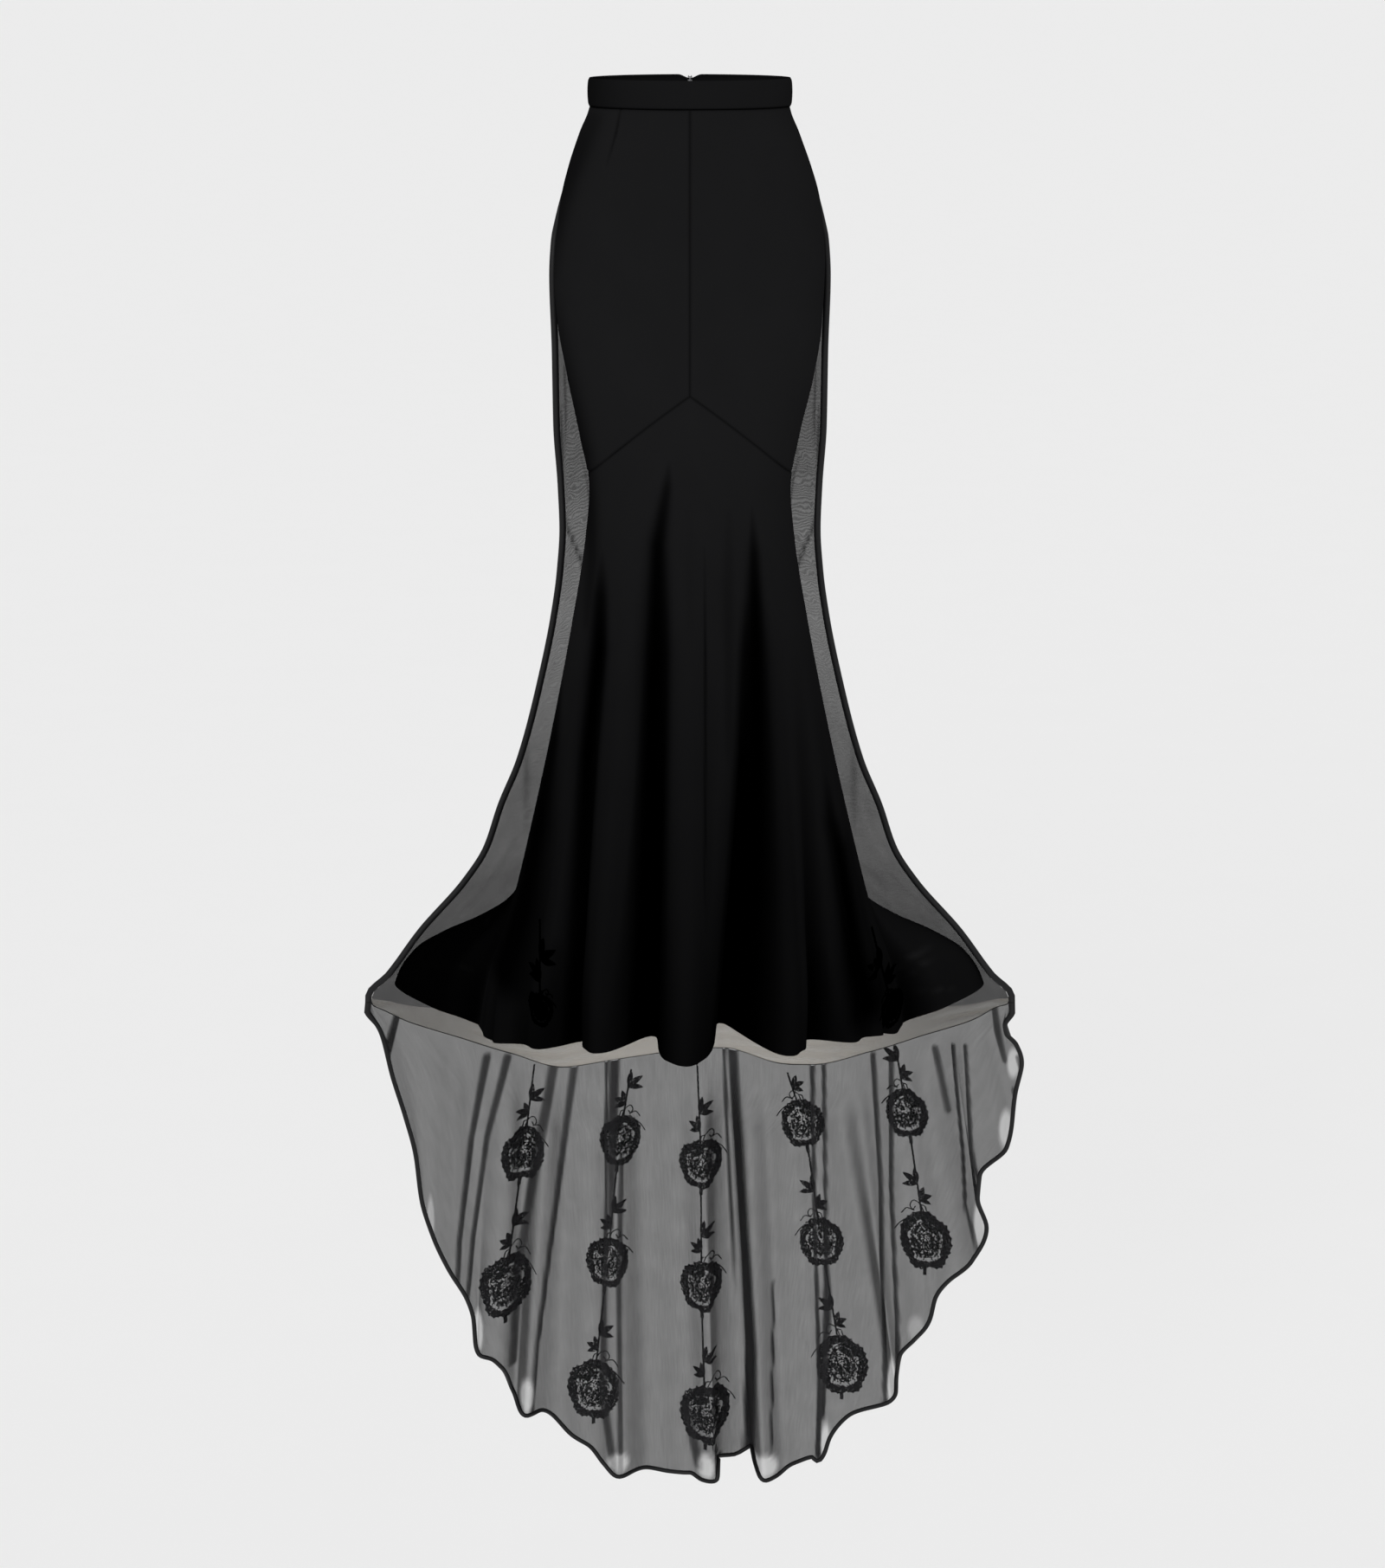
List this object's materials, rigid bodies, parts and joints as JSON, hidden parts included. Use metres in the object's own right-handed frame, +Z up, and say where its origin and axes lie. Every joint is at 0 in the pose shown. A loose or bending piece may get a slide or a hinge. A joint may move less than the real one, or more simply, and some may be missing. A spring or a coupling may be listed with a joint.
{
  "type": "mermaid fishtail skirt",
  "caption": "Floor-length black mermaid skirt with a waistband, a sheer net back panel and a long sheer train with lace rose columns.",
  "frame": {"origin": "middle of the waist opening, half way up the waistband, where the skirt is held", "axes": "+Z up, out of the waist opening; the wearer faces -Y, so the wearer's left is +X and the train hangs behind at +Y"},
  "size_m": [0.8329, 0.7846, 1.9152],
  "materials": {
    "crepe": "matt black crepe, slightly smooth",
    "net": "sheer black net",
    "pale_net": "sheer pale net",
    "binding": "narrow black binding",
    "lace": "black corded lace",
    "zip_metal": "dark lacquered metal"
  },
  "bodies": {
    "skirt": {"waistband": "crepe", "front_left": "crepe", "front_right": "crepe", "back_left": "crepe", "back_right": "crepe", "front_flounce": "crepe", "back_flounce_left": "crepe", "back_flounce_right": "crepe", "overlay_left": "net", "overlay_right": "net", "side_binding_left": "binding", "side_binding_right": "binding", "pale_band": "pale_net", "train": "net", "train_binding": "binding", "rose_column_1": "lace", "rose_column_2": "lace", "rose_column_3": "lace", "rose_column_4": "lace", "rose_column_5": "lace", "zip_tape": "binding", "zip_slider": "zip_metal"},
    "zip_pull": {"zip_pull": "zip_metal"}
  },
  "joints": [
    {"name": "zip_pull", "type": "hinge", "parent": "skirt", "child": "zip_pull", "pos_m": [0, 0.0892, 0.0128], "axis": [1, 0, 0], "range_deg": [0, 150]}
  ]
}
